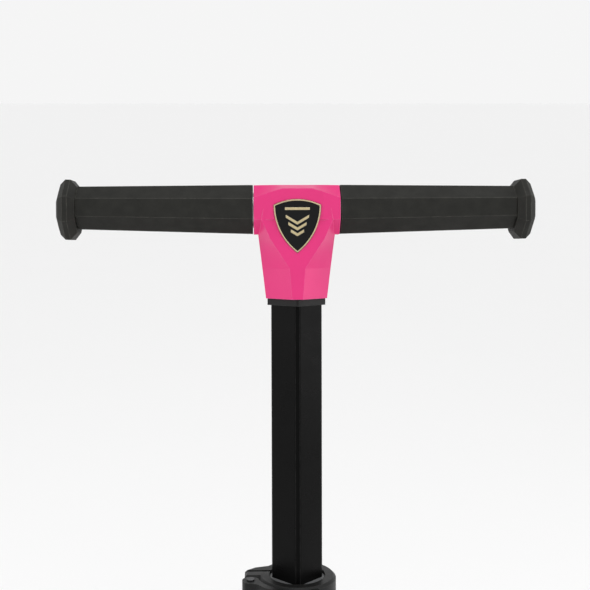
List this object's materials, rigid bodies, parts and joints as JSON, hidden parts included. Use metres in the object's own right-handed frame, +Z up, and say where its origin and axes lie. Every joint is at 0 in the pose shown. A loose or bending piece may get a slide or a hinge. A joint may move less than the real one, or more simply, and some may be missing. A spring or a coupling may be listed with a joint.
{
  "type": "kick scooter",
  "caption": "Folding children's kick scooter with a faceted T-handlebar, sliding height clamp, lean-to-steer front axle and rear foot brake.",
  "frame": {"origin": "on the floor, under the middle of the bounding box", "axes": "+Z up, the front wheels are towards -Y, X is across, along the handlebar"},
  "size_m": [0.2952, 0.5471, 0.6232],
  "materials": {
    "black_rubber": "matte",
    "black_plastic": "satin",
    "pink_plastic": "gloss",
    "black_paint": "satin",
    "steel": "zinc plated",
    "grey_plastic": "matte",
    "black_gloss": "gloss",
    "gold_trim": "polished",
    "black_tyre": "matte",
    "buffer_rubber": "matte"
  },
  "bodies": {
    "deck": {"deck_body": "black_plastic", "deck_mat": "black_rubber", "deck_base_plate": "black_plastic", "base_plate_screws": "steel", "deck_trims": "pink_plastic", "steering_head": "black_paint", "head_screws": "steel", "fold_bracket": "black_paint", "fold_axle": "steel", "kingpin": "steel", "centring_buffers": "buffer_rubber", "nose_cover": "pink_plastic", "rear_axle": "steel", "rear_side_spacers": "steel", "brake_hinge_pin": "steel", "brake_spring": "steel"},
    "truck": {"truck_beam": "black_paint", "kingpin_bushes": "grey_plastic", "front_axle_bolts": "steel"},
    "front_wheel_left": {"front_left_tyre": "black_tyre", "front_left_hub": "pink_plastic", "front_left_bearings": "steel", "front_left_bearing_spacer": "steel"},
    "front_wheel_right": {"front_right_tyre": "black_tyre", "front_right_hub": "pink_plastic", "front_right_bearings": "steel", "front_right_bearing_spacer": "steel"},
    "rear_wheel": {"rear_tyre": "black_tyre", "rear_hub": "pink_plastic", "rear_bearings": "steel", "rear_bearing_spacer": "steel"},
    "brake": {"brake_fender": "pink_plastic", "brake_pad": "steel"},
    "stem": {"stem_foot": "black_paint", "fold_bushes": "grey_plastic", "lower_tube": "black_paint", "collar_sleeve": "black_plastic", "guide_bushing": "grey_plastic", "clamp_ring": "black_plastic", "clamp_bolt": "steel", "lever_pins": "steel", "fold_skewer": "steel", "cam_washer": "grey_plastic"},
    "fold_lever": {"fold_lever": "pink_plastic"},
    "clamp_lever": {"clamp_lever": "black_plastic"},
    "bar": {"upper_tube": "black_paint", "upper_tube_guide": "grey_plastic", "handlebar_cross_tube": "steel", "grip_left": "black_rubber", "grip_right": "black_rubber", "bar_end_left": "black_rubber", "bar_end_right": "black_rubber", "t_housing_front": "pink_plastic", "t_housing_rear": "pink_plastic", "t_housing_screws": "steel", "t_core": "black_plastic", "badge_plate": "black_gloss", "badge_rim": "gold_trim", "badge_emblem": "gold_trim", "neck_flange": "black_plastic"}
  },
  "joints": [
    {"name": "lean_steer", "type": "hinge", "parent": "deck", "child": "truck", "pos_m": [0, -0.213, 0.06], "axis": [0, -0.8192, 0.5736], "range_deg": [-14, 14], "stiffness_Nm_per_rad": 60, "deforming": ["centring_buffers"]},
    {"name": "front_left_spin", "type": "hinge", "parent": "truck", "child": "front_wheel_left", "pos_m": [0.105, -0.213, 0.06], "axis": [1, 0, 0], "continuous": true},
    {"name": "front_right_spin", "type": "hinge", "parent": "truck", "child": "front_wheel_right", "pos_m": [-0.105, -0.213, 0.06], "axis": [1, 0, 0], "continuous": true},
    {"name": "rear_spin", "type": "hinge", "parent": "deck", "child": "rear_wheel", "pos_m": [0, 0.222, 0.045], "axis": [1, 0, 0], "continuous": true},
    {"name": "brake_press", "type": "hinge", "parent": "deck", "child": "brake", "pos_m": [0, 0.164, 0.082], "axis": [-1, 0, 0], "range_deg": [0, 5.5], "stiffness_Nm_per_rad": 0.8, "springref_deg": -17.19},
    {"name": "stem_fold", "type": "hinge", "parent": "deck", "child": "stem", "pos_m": [0, -0.178, 0.132], "axis": [-1, 0, 0], "range_deg": [0, 80]},
    {"name": "fold_lever_open", "type": "hinge", "parent": "stem", "child": "fold_lever", "pos_m": [-0.033, -0.17314, 0.15957], "axis": [0, -0.9848, 0.1736], "range_deg": [0, 95]},
    {"name": "bar_height", "type": "slide", "parent": "stem", "child": "bar", "axis": [0, 0.1736, 0.9848], "range_m": [-0.12, 0]},
    {"name": "clamp_lever_open", "type": "hinge", "parent": "stem", "child": "clamp_lever", "pos_m": [-0.0292, -0.14488, 0.36935], "axis": [0, -0.1736, -0.9848], "range_deg": [0, 110]}
  ]
}
